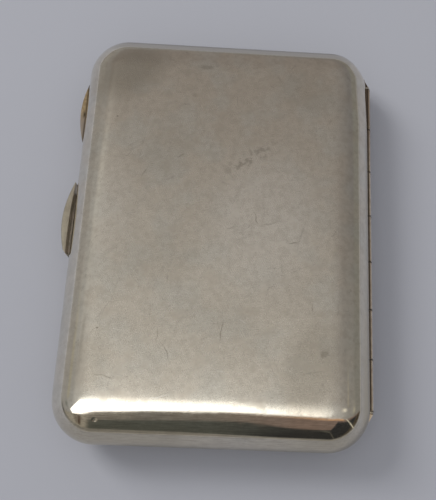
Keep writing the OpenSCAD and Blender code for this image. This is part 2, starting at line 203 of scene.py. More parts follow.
# Glowing panel over the near end, which makes the bright band: outline and height in metres, its light
SOFT_BOX = [
    (-1.95, -0.90), (-1.06, -0.38), (-0.70, -0.14), (-0.22, -0.12), (-0.13, -0.15), (-0.06, -0.12),
    (-0.03, -0.13), (0.00, -0.10), (0.05, -0.17), (0.09, -0.21), (0.12, -0.26), (0.16, -0.42),
    (0.17, -0.50), (0.11, -0.46), (0.07, -0.42), (-0.03, -0.44), (-0.06, -0.46), (-0.14, -0.52),
    (-0.25, -0.64), (-0.33, -0.75), (-0.81, -0.91), (-1.78, -1.20),
]
SOFT_BOX_Z = 1.0
SOFT_BOX_GLOW = 2.6
SOFT_BOX_TONE = (1.0, 0.985, 0.95)

# Floor and lamp, in metres and watts
FLOOR_HALF = 1.6
LAMP_PLACE = (-0.9, 0.6, 0.8)
LAMP_SIZE = 0.5
LAMP_POWER = 7.0

# Camera of the photograph's view: its place in metres, the axes of its lens, and its shift
CAMERA_PLACE = (0.00366, -0.04250, 0.13337)
CAMERA_RIGHT = (0.99835, 0.03570, 0.04508)
CAMERA_DOWN = (0.04690, -0.95919, -0.27885)
CAMERA_AWAY = (0.03328, 0.28050, -0.95927)
CAMERA_LENS = 47.338
CAMERA_SENSOR = 36.0
CAMERA_SHIFT = (-0.08517, 0.02007)


# Helpers for meshes

def make_object(name, verts, faces, materials, body, face_slots=None):
    """A mesh object from points in millimetres, riding on a body."""
    mesh = bpy.data.meshes.new(name)
    mesh.from_pydata([Vector(v) * MM for v in verts], [], faces)
    mesh.validate()
    for material in materials:
        mesh.materials.append(material)
    if face_slots:
        for polygon, index in zip(mesh.polygons, face_slots):
            polygon.material_index = index
    obj = bpy.data.objects.new(name, mesh)
    bpy.context.scene.collection.objects.link(obj)
    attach(obj, body)
    return obj


def smooth(obj, angle=35):
    """Smooth shading with sharp edges where the surface turns by more than angle degrees."""
    obj.data.polygons.foreach_set("use_smooth", [True] * len(obj.data.polygons))
    obj.data.set_sharp_from_angle(angle=math.radians(angle))


def turn_outwards(mesh, join_within=0.0):
    """Turns all faces outwards, after joining points and closing holes where a distance is given."""
    bm = bmesh.new()
    bm.from_mesh(mesh)
    if join_within:
        bmesh.ops.remove_doubles(bm, verts=bm.verts, dist=join_within * MM)
        bmesh.ops.holes_fill(bm, edges=[e for e in bm.edges if e.is_boundary], sides=0)
    bmesh.ops.recalc_face_normals(bm, faces=bm.faces)
    bm.to_mesh(mesh)
    bm.free()


def box_cutter(low, high):
    """Points and faces of a box between two corners."""
    verts = [(x, y, z) for x in (low[0], high[0]) for y in (low[1], high[1]) for z in (low[2], high[2])]
    faces = [(0, 1, 3, 2), (4, 6, 7, 5), (0, 4, 5, 1), (2, 3, 7, 6), (0, 2, 6, 4), (1, 5, 7, 3)]
    return verts, faces


def bar_cutter(section, end_y):
    """Points and faces of a bar along Y whose ends lie where end_y(x) says."""
    count = len(section)
    verts = [(x, side * end_y(x), z) for side in (-1, 1) for x, z in section]
    faces = [tuple(range(count)), tuple(reversed(range(count, 2 * count)))]
    for i in range(count):
        j = (i + 1) % count
        faces.append((j, i, count + i, count + j))
    return verts, faces


def cut(obj, *cutters):
    """Takes the cutting shapes out of obj."""
    for verts, faces in cutters:
        mesh = bpy.data.meshes.new("cutter")
        mesh.from_pydata([Vector(v) * MM for v in verts], [], faces)
        turn_outwards(mesh)
        tool = bpy.data.objects.new("cutter", mesh)
        bpy.context.scene.collection.objects.link(tool)
        modifier = obj.modifiers.new("cut", "BOOLEAN")
        modifier.operation = "DIFFERENCE"
        modifier.solver = "EXACT"
        modifier.object = tool
        bpy.context.view_layer.update()
        depsgraph = bpy.context.evaluated_depsgraph_get()
        result = bpy.data.meshes.new_from_object(obj.evaluated_get(depsgraph))
        obj.modifiers.clear()
        obj.data = result
        bpy.data.objects.remove(tool)


# Pressed halves

def edge_profile(inside):
    """The soft edge as (distance in from the rim line, height above the face), rim first.

    The sheet's slope grows with the path along it, gently at first, up to EDGE_TURN at the rim.
    """
    path, across, up = [], 0.0, 0.0
    for i in range(EDGE_STEPS + 1):
        if i:
            turn = EDGE_TURN * ((i - 0.5) / EDGE_STEPS) ** EDGE_EASE
            across += math.cos(turn) / EDGE_STEPS
            up += math.sin(turn) / EDGE_STEPS
        path.append((across, up, EDGE_TURN * (i / EDGE_STEPS) ** EDGE_EASE))
    size = HALF_H / up
    reach = across * size
    points = []
    for across, up, turn in path:
        inset = reach - across * size
        height = up * size
        if inside:
            inset += WALL * math.sin(turn)
            height += WALL * math.cos(turn)
        if height <= HALF_H + 1e-6:
            points.append((inset, height))
    if inside:
        (inset_a, height_a), (inset_b, height_b) = points[-2:]
        rate = (inset_b - inset_a) / (height_b - height_a)
        points.append((inset_b + rate * (HALF_H - height_b), HALF_H))
    return points[::-1]


def sample(points, count):
    """count + 1 points spread evenly along a chain of (inset, height) points."""
    lengths = [0.0]
    for a, b in zip(points, points[1:]):
        lengths.append(lengths[-1] + math.dist(a, b))
    result, k = [], 0
    for i in range(count + 1):
        goal = lengths[-1] * i / count
        while k < len(points) - 2 and lengths[k + 1] < goal:
            k += 1
        part = (goal - lengths[k]) / max(lengths[k + 1] - lengths[k], 1e-9)
        result.append(tuple(p + (q - p) * part for p, q in zip(points[k], points[k + 1])))
    return result


def height_at(points, inset):
    """Height of the sheet at a distance in from the rim line."""
    for (inset_a, height_a), (inset_b, height_b) in zip(points, points[1:]):
        if inset <= inset_b:
            part = (inset - inset_a) / max(inset_b - inset_a, 1e-9)
            return height_a + (height_b - height_a) * part
    return points[-1][1]


def grid_place(index, count, length):
    """Place along the plan between the corners, steps past its end, and the side that they are on."""
    inner = min(max(index, 0), count)
    return inner / count * length - length / 2, abs(index - inner), -1 if index < 0 else 1


def sheet_grid(inside):
    """Rows of points of one side of the sheet, face down at height 0, over the whole plan.

    Between the corners the points lie on a grid, and past it on rings that turn round the corners.
    """
    profile = edge_profile(inside)
    corner = [p for p in profile if p[0] < CORNER_R]
    rings = sample(corner + [(CORNER_R, height_at(profile, CORNER_R))], EDGE_RINGS)[::-1]
    rim_height = height_at(profile, 0)
    flat_w, flat_l = CASE_W - 2 * CORNER_R, CASE_L - 2 * CORNER_R
    count_x, count_y = round(flat_w / GRID_STEP), round(flat_l / GRID_STEP)
    rows = []
    for j in range(-EDGE_RINGS, count_y + EDGE_RINGS + 1):
        row = []
        for i in range(-EDGE_RINGS, count_x + EDGE_RINGS + 1):
            x, off_x, side_x = grid_place(i, count_x, flat_w)
            y, off_y, side_y = grid_place(j, count_y, flat_l)
            if off_x == off_y == 0:
                height = height_at(profile, min(CASE_W / 2 - abs(x), CASE_L / 2 - abs(y)))
            else:
                inset, height = rings[max(off_x, off_y)]
                angle = math.pi / 4 * min(off_x, off_y) / max(off_x, off_y)
                if off_x < off_y:
                    angle = math.pi / 2 - angle
                x += side_x * (CORNER_R - inset) * math.cos(angle) * (off_x > 0)
                y += side_y * (CORNER_R - inset) * math.sin(angle) * (off_y > 0)
            fade = min(1.0, max(0.0, (rim_height - height) / HALF_H)) ** 2
            row.append((x, y, height + dent(x, y) * fade))
        rows.append(row)
    return rows


def dent(x, y):
    """Slow unevenness of the pressed face, in millimetres."""
    place = Vector((x / DENT_SIZE, y / DENT_SIZE, DENT_SLICE))
    return DENT_DEPTH * (noise.noise(place) + DENT_FINE_SHARE * noise.noise(place * DENT_FINE_FACTOR))


def draw_in(x, y):
    """x with the lid's hinge side drawn in a little towards its far corner."""
    along = min(1.0, max(0.0, (y - DRAW_START_Y) / DRAW_LENGTH))
    share = along * min(1.0, max(0.0, (x - DRAW_START_X) / DRAW_WIDTH))
    return x - DRAW_IN * share * share * (3 - 2 * share)


def half_shell(name, body, materials, lid):
    """One pressed half with its outer and inner faces and its flat rim."""
    outer, inner = sheet_grid(False), sheet_grid(True)
    rows, columns = len(outer), len(outer[0])
    verts = [p for grid in (outer, inner) for row in grid for p in row]
    if lid:
        verts = [(draw_in(x, y), y, TOP_Z - z) for x, y, z in verts]
    faces, slots = [], []

    def index(side, row, column):
        return (side * rows + row) * columns + column

    for side in (0, 1):
        for row in range(rows - 1):
            for column in range(columns - 1):
                quad = [
                    index(side, row, column), index(side, row + 1, column),
                    index(side, row + 1, column + 1), index(side, row, column + 1),
                ]
                faces.append(quad if (side == 0) != lid else quad[::-1])
                slots.append(side)
    border = [(0, c) for c in range(columns)]
    border += [(r, columns - 1) for r in range(1, rows)]
    border += [(rows - 1, c) for c in range(columns - 2, -1, -1)]
    border += [(r, 0) for r in range(rows - 2, 0, -1)]
    for (r0, c0), (r1, c1) in zip(border, border[1:] + border[:1]):
        quad = [index(0, r0, c0), index(0, r1, c1), index(1, r1, c1), index(1, r0, c0)]
        faces.append(quad if not lid else quad[::-1])
        slots.append(0)
    return make_object(name, verts, faces, materials, body, slots)


def moulding_section():
    """Section of the seat that the hinge moulding needs in the base's wall."""
    far_x = MOULDING_OUT + SEAT_PAST
    points = [(MOULDING_IN, SEAT_TOP_Z), (far_x, SEAT_TOP_Z), (far_x, MOULDING_Z)]
    for i in range(SEAT_STEPS + 1):
        angle = -math.pi / 2 * i / SEAT_STEPS
        x, z = MOULDING_R * math.cos(angle), MOULDING_R * math.sin(angle)
        points.append((MOULDING_X + x, MOULDING_Z + z))
    points.append((MOULDING_IN, MOULDING_Z - MOULDING_R))
    return points


def moulding_end(x):
    """Half-length of the hinge moulding's seat at x, with its ends cut on the slant."""
    share = (MOULDING_OUT - x) / (MOULDING_OUT - MOULDING_IN)
    return MOULDING_HALF + MOULDING_TAPER * share


def circle_section(x, z, r, count=32):
    """Points of a circle in the XZ plane."""
    angles = [2 * math.pi * i / count for i in range(count)]
    return [(x + r * math.cos(angle), z + r * math.sin(angle)) for angle in angles]


def build_shells(silver, gilt):
    """Lid with the groove for its knuckles, and base with its seat and openings."""
    lid = half_shell("lid_half", "lid", [silver, gilt], True)
    groove_end = HINGE_HALF + GROOVE_END_GAP
    cut(lid, bar_cutter(circle_section(HINGE_X, HINGE_Z, GROOVE_R), lambda x: groove_end))
    base = half_shell("base_half", "base", [silver, gilt], False)
    cut(
        base, bar_cutter(moulding_section(), moulding_end),
        box_cutter(SLOT_LOW, SLOT_HIGH), box_cutter(NOTCH_LOW, NOTCH_HIGH),
    )
    smooth(lid)
    smooth(base)
    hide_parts("lid_shell")
    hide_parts("base_shell")


# Thumb-piece

def thumb_section(width, height):
    """Section across the thumb-piece: its outer edges rounded, its top falling a little inwards."""
    radius = min(THUMB_ROUND, THUMB_ROUND_SHARE * width)
    angles = [math.pi / 2 * i / THUMB_ROUND_STEPS for i in range(THUMB_ROUND_STEPS + 1)]
    points = [(width, 0.0)]
    points += [(radius - radius * math.sin(a), radius - radius * math.cos(a)) for a in angles]
    points += [(radius - radius * math.cos(a), height - radius + radius * math.sin(a)) for a in angles]
    points.append((THUMB_TOP_SHARE * width, height - THUMB_TOP_FALL * width))
    points.append((width, height - THUMB_IN_FALL * width))
    return points


def thumb_edges(y):
    """Inner and outer x of the crescent at y from its middle."""
    radius = (THUMB_HALF_L ** 2 + THUMB_SAG ** 2) / (2 * THUMB_SAG)
    in_x = THUMB_IN_X + THUMB_CURL * (y / THUMB_HALF_L) ** 2
    out_x = THUMB_OUT_X + radius - math.sqrt(radius ** 2 - y * y)
    cut_x = THUMB_CUT_X + THUMB_CUT_SLOPE * (THUMB_CUT_Y - THUMB_Y - y)
    return in_x, min(max(out_x, cut_x), in_x - THUMB_MIN_W)


def build_thumb_piece(silver, dark):
    """Crescent plate whose tips curl in a little, cut off on the slant at its near end."""
    curled_x = THUMB_IN_X + THUMB_CURL_AT_CUT * THUMB_CURL
    low_end = THUMB_CUT_Y - THUMB_Y - (curled_x - THUMB_CUT_X) / THUMB_CUT_SLOPE
    high_end = THUMB_HALF_L * THUMB_TIP_SHARE
    verts, faces, slots = [], [], []
    for i in range(THUMB_STATIONS + 1):
        share = (1 - math.cos(math.pi * i / THUMB_STATIONS)) / 2
        y = low_end + (high_end - low_end) * share
        in_x, out_x = thumb_edges(y)
        section = thumb_section(in_x - out_x, THUMB_HIGH_Z - THUMB_LOW_Z)
        for u, v in section:
            x = out_x + u + CASE_W / 2
            turned_x = x * math.cos(THUMB_TURN) - y * math.sin(THUMB_TURN) - CASE_W / 2
            turned_y = x * math.sin(THUMB_TURN) + y * math.cos(THUMB_TURN) + THUMB_Y
            verts.append((turned_x, turned_y, THUMB_LOW_Z + v))
    ring = len(section)
    for i in range(THUMB_STATIONS):
        for k in range(ring):
            n = (k + 1) % ring
            faces.append((i * ring + k, i * ring + n, (i + 1) * ring + n, (i + 1) * ring + k))
            slots.append(1 if n == 0 else 0)
    faces.append(tuple(range(ring))[::-1])
    faces.append(tuple(range(THUMB_STATIONS * ring, (THUMB_STATIONS + 1) * ring)))
    stem_verts, stem_faces = box_cutter(STEM_LOW, STEM_HIGH)
    faces += [tuple(len(verts) + k for k in face) for face in stem_faces]
    verts += stem_verts
    slots += [1] * (2 + len(stem_faces))
    # the second material, lighter than the plate, goes on the inner face, end caps and stem
    obj = make_object("thumb_plate", verts, faces, [silver, dark], "catch", slots)
    turn_outwards(obj.data)
    smooth(obj, 40)
    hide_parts("thumb_piece")


# Strap

def strap_half(i, k):
    """Half the strap's thickness at thread i along it and point k across it."""
    place = k / (STRAP_RIBS * RIB_POINTS)
    edge = min(1.0, min(place, 1 - place) * STRAP_W / STRAP_EDGE)
    half = STRAP_T / 2 * math.sqrt(max(0.0, 1 - (1 - edge) ** 2))
    rib = abs(math.sin(math.pi * k / RIB_POINTS))
    thread = 0.5 + 0.5 * math.cos(math.pi * (i + (k // RIB_POINTS) % 2))
    return max(0.0, half - RIB_DEPTH * edge * (1 - rib) - THREAD_DEPTH * edge * thread)


def build_strap(elastic):
    """Woven elastic with lengthwise ribs and fine crosswise threads."""
    across = STRAP_RIBS * RIB_POINTS
    along = round(2 * STRAP_HALF_L / THREAD_STEP)
    mid_z = STRAP_LOW_Z + STRAP_T / 2
    verts, faces = [], []
    for i in range(along + 1):
        x = -STRAP_HALF_L + 2 * STRAP_HALF_L * i / along
        for side in (-1, 1):
            for k in range(across + 1):
                y = STRAP_Y + (k / across - 0.5) * STRAP_W
                verts.append((x, y, mid_z + side * strap_half(i, k)))
    row = 2 * (across + 1)
    for i in range(along):
        for k in range(across):
            a, b = i * row + k, (i + 1) * row + k
            faces.append((a, a + 1, b + 1, b))
            a, b = a + across + 1, b + across + 1
            faces.append((a, b, b + 1, a + 1))
    obj = make_object("elastic_strap", verts, faces, [elastic], "base")
    turn_outwards(obj.data, 0.002)
    smooth(obj, 60)
    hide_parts("retaining_strap")


# Helpers for materials

def add(tree, kind, inputs=None, **settings):
    """A node with its settings, its inputs set to a value or linked to a socket."""
    node = tree.nodes.new(kind)
    for key, value in settings.items():
        setattr(node, key, value)
    for key, value in (inputs or {}).items():
        socket = node.inputs[key]
        if isinstance(value, bpy.types.NodeSocket):
            tree.links.new(value, socket)
        else:
            socket.default_value = value
    return node


def calc(tree, operation, a, b=0.0):
    """Result of a math operation on one or two values."""
    return add(tree, "ShaderNodeMath", {0: a, 1: b}, operation=operation).outputs[0]


def plus(tree, a, b):
    return calc(tree, "ADD", a, b)


def minus(tree, a, b):
    return calc(tree, "SUBTRACT", a, b)


def times(tree, a, b):
    return calc(tree, "MULTIPLY", a, b)


def strongest(tree, values):
    """The largest of some values."""
    result = values[0]
    for value in values[1:]:
        result = calc(tree, "MAXIMUM", result, value)
    return result


def split_xyz(tree, vector):
    """The three parts of a vector, by the names X, Y and Z."""
    return add(tree, "ShaderNodeSeparateXYZ", {0: vector}).outputs


def fit(tree, value, low, high, to_low=0.0, to_high=1.0):
    """value moved from the range low to high into another range, with soft ends."""
    inputs = {"Value": value, "From Min": low, "From Max": high, "To Min": to_low, "To Max": to_high}
    return add(tree, "ShaderNodeMapRange", inputs, interpolation_type="SMOOTHSTEP").outputs["Result"]


def opaque(tone):
    """A tone of three values as the four that a colour socket takes."""
    return (*tone, 1.0)


def mix_colour(tree, share, a, b):
    """a where share is 0 and b where it is 1, each of them a socket or a tone."""
    a, b = (v if isinstance(v, bpy.types.NodeSocket) else opaque(v) for v in (a, b))
    return add(tree, "ShaderNodeMix", {0: share, 6: a, 7: b}, data_type="RGBA").outputs[2]


def stripe(tree, value, centre, half):
    """1 where value is at centre, falling to 0 at a distance of half."""
    return fit(tree, calc(tree, "ABSOLUTE", minus(tree, value, centre)), 0.0, half, 1.0, 0.0)


def patch(tree, a, b, centre, half):
    """1 at one place of two values, falling to 0 round it."""
    return times(tree, stripe(tree, a, centre[0], half[0]), stripe(tree, b, centre[1], half[1]))


def new_material(name, metallic, roughness):
    """A principled material, its tree, its shader and object coordinates in millimetres."""
    material = bpy.data.materials.new(name)
    material.use_nodes = True
    tree = material.node_tree
    shader = tree.nodes["Principled BSDF"]
    shader.inputs["Metallic"].default_value = metallic
    shader.inputs["Roughness"].default_value = roughness
    coords = add(tree, "ShaderNodeTexCoord").outputs["Object"]
    place = add(tree, "ShaderNodeVectorMath", {0: coords, "Scale": 1 / MM}, operation="SCALE").outputs[0]
    return material, tree, shader, place


def moved(tree, place, shift, turn, size):
    """Coordinates counted from a shifted and turned place, in units of size."""
    inputs = {"Vector": place, "Location": shift, "Rotation": (0, 0, math.radians(turn)), "Scale": size}
    return add(tree, "ShaderNodeMapping", inputs, vector_type="TEXTURE").outputs[0]


def noise_value(tree, place, scale, detail=3.0, rough=0.55, stretch=(1, 1, 1), turn=0.0, shift=(0, 0, 0)):
    """Noise between about 0.3 and 0.7 at a scale per millimetre, stretched and turned about Z."""
    vector = moved(tree, place, shift, turn, stretch)
    inputs = {"Vector": vector, "Scale": scale, "Detail": detail, "Roughness": rough}
    return add(tree, "ShaderNodeTexNoise", inputs).outputs["Fac"]


def scratch_layer(tree, place, turn, length, spacing, width, share, shift):
    """Thin scratches in one direction, 1 on a scratch: contour lines of stretched noise, broken up."""
    lines = noise_value(tree, place, 1.0, 1.0, 0.5, (length, spacing, spacing), turn, shift)
    line = fit(tree, calc(tree, "ABSOLUTE", minus(tree, lines, 0.5)), 0.0, width, 1.0, 0.0)
    broad = (length * 0.6, spacing * 2.5, spacing * 2.5)
    gate = noise_value(tree, place, 1.0, 2.0, 0.6, broad, turn, shift)
    return times(tree, line, fit(tree, gate, 1 - share, 1.04 - share))


def mark(tree, place, x, y, length, width, turn):
    """1 in the middle of a long thin place on the face, falling to 0 at its ends."""
    vector = moved(tree, place, (x, y, 0), turn, (length, width, 1e4))
    reach = add(tree, "ShaderNodeVectorMath", {0: vector}, operation="LENGTH").outputs["Value"]
    return fit(tree, reach, 0.3, 1.0, 1.0, 0.0)


def places(tree, place, rows):
    """Share of the strongest of some broad soft places."""
    return strongest(tree, [times(tree, mark(tree, place, *row[:5]), row[5]) for row in rows])


def bump(tree, shader, height, depth, strength=1.0, under=None):
    """Relief on a shader, with depth in millimetres, over the relief of another bump node."""
    inputs = {"Height": height, "Distance": depth * MM, "Strength": strength}
    if under:
        inputs["Normal"] = under.outputs[0]
    node = add(tree, "ShaderNodeBump", inputs)
    tree.links.new(node.outputs[0], shader.inputs["Normal"])


# Worn silver

SILVER = {
    "cool": (0.80, 0.748, 0.65),
    "warm": (0.745, 0.68, 0.58),
    "grey": (0.75, 0.72, 0.64),
    "stain": (0.50, 0.44, 0.36),
    "lighter_place": (0.89, 0.845, 0.76),
    "darker_place": (0.50, 0.455, 0.375),
    "mottle": (0.49, 0.45, 0.38),
    # tarnish with painted shade, for the near end and the hinge side
    "edge_tarnish_and_shade": (0.63, 0.57, 0.45),
    # painted shade on the far edge and, darker, on its lip
    "far_edge_shade": (0.58, 0.54, 0.47),
    "far_lip_shade": (0.46, 0.41, 0.32),
    "scratch": (0.42, 0.39, 0.35),
    "mark_dark": (0.26, 0.23, 0.18),
    "mark_bright": (0.93, 0.90, 0.84),
    "comb": (0.40, 0.36, 0.30),
    "speck": (0.32, 0.29, 0.24),
    "grazing_full": (1.0, 1.0, 1.0),
    "grazing_shade": (0.72, 0.72, 0.72),
}


def silver_tone(tree, place, split, stains, mottle):
    """Tone of the face: warmer towards the far end, clouded, with stains and broad lighter and darker
    places.
    """
    cloud = noise_value(tree, place, 1 / 22, 4.0, 0.6)
    hue = noise_value(tree, place, 1 / 5.5, 2.0, 0.5, shift=(5, 41, 0))
    along = fit(tree, split["Y"], *WARM_Y)
    warmth = fit(tree, plus(tree, times(tree, along, 0.55), times(tree, cloud, 0.7)), 0.25, 1.0)
    tone = mix_colour(tree, warmth, SILVER["cool"], SILVER["warm"])
    tone = mix_colour(tree, fit(tree, hue, 0.38, 0.68, 0.0, 0.9), tone, SILVER["grey"])
    tone = mix_colour(tree, times(tree, stains, WEAR["stain"]), tone, SILVER["stain"])
    # broad places where the tone is made lighter, then others where it is made darker
    tone = mix_colour(tree, places(tree, place, LIGHTER_PLACES), tone, SILVER["lighter_place"])
    tone = mix_colour(tree, places(tree, place, DARKER_PLACES), tone, SILVER["darker_place"])
    dull = times(tree, fit(tree, mottle, 0.40, 0.64), WEAR["mottle"])
    return mix_colour(tree, dull, tone, SILVER["mottle"])


def silver_ends(tree, split, far_lip_shade, tone):
    """The tone with tarnish and painted shade along the near end and the hinge side, and painted shade on
    the far edge and its lip.
    """
    near_share = minus(tree, 0.85, times(tree, stripe(tree, split["X"], 5.0, 16.0), 0.6))
    near_end = times(tree, fit(tree, split["Y"], *NEAR_END_Y), near_share)
    hinge_side = times(tree, fit(tree, split["X"], *HINGE_SIDE_X), fit(tree, split["Y"], *HINGE_SIDE_Y))
    # tarnish with painted shade: the near end and the near half of the hinge side are darkened and warmed
    tone = mix_colour(tree, strongest(tree, [near_end, hinge_side]), tone, SILVER["edge_tarnish_and_shade"])
    # painted shade: the far edge and then its lip are darkened
    tone = mix_colour(tree, fit(tree, split["Y"], *FAR_EDGE_SHADE_Y), tone, SILVER["far_edge_shade"])
    return mix_colour(tree, far_lip_shade, tone, SILVER["far_lip_shade"])


def silver_marks(tree, place, split, scratches, mottle, tone):
    """The tone with scratches, the separate marks, the near edge's comb of streaks and the specks."""
    tone = mix_colour(tree, times(tree, scratches, WEAR["scratch"]), tone, SILVER["scratch"])
    bend = noise_value(tree, place, BEND_SCALE, 1.0, 0.5)
    bent = add(tree, "ShaderNodeVectorMath", {0: place, 1: bend}, operation="ADD").outputs[0]
    on_face = fit(tree, split["Z"], *FACE_Z)
    for x, y, length, width, turn, strength in MARKS:
        share = mark(tree, bent, x + BEND_MEAN, y + BEND_MEAN, length, width, turn)
        share = times(tree, share, abs(strength))
        mark_tone = SILVER["mark_dark"] if strength > 0 else SILVER["mark_bright"]
        tone = mix_colour(tree, times(tree, share, on_face), tone, mark_tone)
    comb = noise_value(tree, place, 1.0, 2.0, 0.6, (4, 0.14, 0.14), 2, (9, 2, 0))
    comb = times(tree, fit(tree, comb, 0.42, 0.62), fit(tree, split["Y"], *COMB_Y))
    tone = mix_colour(tree, times(tree, comb, WEAR["comb"]), tone, SILVER["comb"])
    specks = times(tree, mark(tree, place, *SPECKS), fit(tree, mottle, 0.48, 0.6))
    return mix_colour(tree, times(tree, specks, WEAR["speck"]), tone, SILVER["speck"])


def silver_material():
    """Silver worn to a soft satin on the face and polished on the turned edge."""
    material, tree, shader, place = new_material("worn_silver", 1.0, 0.2)
    split = split_xyz(tree, place)
    stains = fit(tree, noise_value(tree, place, 1 / 3.2, 5.0, 0.65, shift=(7, 3, 0)), 0.50, 0.68)
    mottle = noise_value(tree, place, 1 / 1.3, 3.0, 0.7, shift=(31, 12, 0))
    scratches = strongest(tree, [scratch_layer(tree, place, *row) for row in SCRATCHES])
    hairlines = strongest(tree, [
        noise_value(tree, place, 1.0, 2.0, 0.7, (8, 0.16, 0.16), turn) for turn in HAIRLINE_TURNS
    ])
    # where the painted shade of the far lip lies
    far_lip_shade = fit(tree, split["Y"], *FAR_LIP_SHADE_Y)
    tone = silver_tone(tree, place, split, stains, mottle)
    tone = silver_ends(tree, split, far_lip_shade, tone)
    tone = silver_marks(tree, place, split, scratches, mottle, tone)
    tree.links.new(tone, shader.inputs["Base Color"])
    # painted shade also dims the grazing reflection on the far lip
    grazing = mix_colour(tree, far_lip_shade, SILVER["grazing_full"], SILVER["grazing_shade"])
    tree.links.new(grazing, shader.inputs["Specular Tint"])
    normal = add(tree, "ShaderNodeTexCoord").outputs["Normal"]
    upright = calc(tree, "ABSOLUTE", split_xyz(tree, normal)["Z"])
    worn = fit(tree, upright, 0.955, 0.9995, 0.065, 0.26)
    rough = plus(tree, worn, times(tree, fit(tree, hairlines, 0.45, 0.75), 0.05))
    rough = plus(tree, rough, times(tree, stains, 0.06))
    tree.links.new(rough, shader.inputs["Roughness"])
    on_lid = fit(tree, split["Z"], *LID_Z)
    inputs = {"Height": times(tree, mark(tree, place, *DING), on_lid), "Distance": DING_DEPTH * MM}
    ding = add(tree, "ShaderNodeBump", inputs, invert=True)
    relief = plus(tree, times(tree, scratches, -0.6), times(tree, hairlines, 0.25))
    bump(tree, shader, relief, 0.004, 0.3, ding)
    return material


# Other materials

THUMB_LIGHT, THUMB_DARK = (0.65, 0.60, 0.48), (0.55, 0.50, 0.395)
THUMB_BACK_LIGHT, THUMB_BACK_DARK = (0.82, 0.74, 0.66), (0.60, 0.57, 0.49)
HINGE = {
    "golden_light": (0.80, 0.67, 0.52),
    "golden_dark": (0.60, 0.48, 0.35),
    "outside": (0.97, 0.92, 0.85),
    "far_end": (0.42, 0.31, 0.21),
    # nearly black tone of crevice tarnish with painted shade, for the joint line and knuckle gaps
    "crevice_tarnish_and_shade": (0.10, 0.08, 0.065),
}
CRESCENT = {
    "light": (0.76, 0.60, 0.37),
    "dark": (0.58, 0.44, 0.26),
    "near_end": (0.56, 0.48, 0.40),
    "far_end": (0.50, 0.50, 0.46),
    "shade": (0.12, 0.09, 0.06),
}
GILT_LIGHT, GILT_DARK, GILT_WORN = (0.80, 0.62, 0.34), (0.64, 0.46, 0.24), (0.80, 0.73, 0.60)
STEEL_DARK, STEEL_LIGHT = (0.42, 0.43, 0.45), (0.62, 0.63, 0.64)
ELASTIC_DARK, ELASTIC_LIGHT, ELASTIC_FADED = (0.60, 0.50, 0.30), (0.78, 0.69, 0.47), (0.68, 0.62, 0.48)
FLOOR_TONE = (0.57, 0.575, 0.62)


def toned_metal(name, light, dark, roughness):
    """Plain metal clouded between two tones."""
    material, tree, shader, place = new_material(name, 1.0, roughness)
    cloud = noise_value(tree, place, 1 / 1.4, 4.0, 0.6)
    tree.links.new(mix_colour(tree, fit(tree, cloud, 0.35, 0.65), light, dark), shader.inputs["Base Color"])
    bump(tree, shader, cloud, 0.01, 0.3)
    return material


def hinge_material():
    """Hinge metal: tarnish and painted shade in the joint line and between the knuckles, golden brown, paler
    outside.
    """
    material, tree, shader, place = new_material("hinge_silver", 1.0, 0.28)
    split = split_xyz(tree, place)
    cloud = noise_value(tree, place, 1 / 1.2, 4.0, 0.6, shift=(4, 4, 0))
    tone = mix_colour(tree, fit(tree, cloud, 0.35, 0.65), HINGE["golden_light"], HINGE["golden_dark"])
    tone = mix_colour(tree, fit(tree, split["X"], *OUTSIDE_X), tone, HINGE["outside"])
    far = times(tree, fit(tree, split["Y"], *BROWN_Y), 0.8)
    tone = mix_colour(tree, far, tone, HINGE["far_end"])
    joint_end = fit(tree, split["X"], *JOINT_FADE_X, 1.0, 0.0)
    joint = times(tree, joint_end, fit(tree, split["X"], *JOINT_X))
    joint = times(tree, joint, fit(tree, split["Y"], *JOINT_Y))
    step = calc(tree, "PINGPONG", plus(tree, split["Y"], KNUCKLE_ROW / 2), KNUCKLE_L / 2)
    gaps = times(tree, fit(tree, step, *GAP_FADE, 1.0, 0.0), 0.8)
    # tarnish with painted shade: the joint line beside the lid and the gaps between knuckles are darkened
    crevice_tarnish_and_shade = strongest(tree, [joint, gaps])
    tree.links.new(mix_colour(tree, crevice_tarnish_and_shade, tone, HINGE["crevice_tarnish_and_shade"]), shader.inputs["Base Color"])
    tree.links.new(fit(tree, crevice_tarnish_and_shade, 0.0, 1.0, 0.25, 0.55), shader.inputs["Roughness"])
    bump(tree, shader, cloud, 0.01, 0.3)
    return material


def crescent_material():
    """Gilding of the plate whose edge shows at the side: golden, with greyer ends, a dark inner edge of
    tarnish and painted shade, and a spot of painted shadow.
    """
    material, tree, shader, place = new_material("crescent_gilt", 1.0, 0.32)
    split = split_xyz(tree, place)
    cloud = noise_value(tree, place, 1 / 0.9, 4.0, 0.6, shift=(2, 8, 1))
    tone = mix_colour(tree, fit(tree, cloud, 0.35, 0.65), CRESCENT["light"], CRESCENT["dark"])
    tone = mix_colour(tree, fit(tree, split["Y"], *CRESCENT_NEAR_Y), tone, CRESCENT["near_end"])
    tone = mix_colour(tree, fit(tree, split["Y"], *CRESCENT_FAR_Y), tone, CRESCENT["far_end"])
    # tarnish with painted shade along the inner edge beside the lid, and a spot of painted shadow
    inner = times(tree, stripe(tree, split["X"], CRESCENT_EDGE_X, CRESCENT_EDGE_HALF), 0.8)
    stain = patch(tree, split["X"], split["Y"], CRESCENT_SHADOW_SPOT, CRESCENT_SHADOW_SPOT_HALF)
    tone = mix_colour(tree, strongest(tree, [inner, stain]), tone, CRESCENT["shade"])
    tree.links.new(tone, shader.inputs["Base Color"])
    bump(tree, shader, cloud, 0.01, 0.4)
    return material


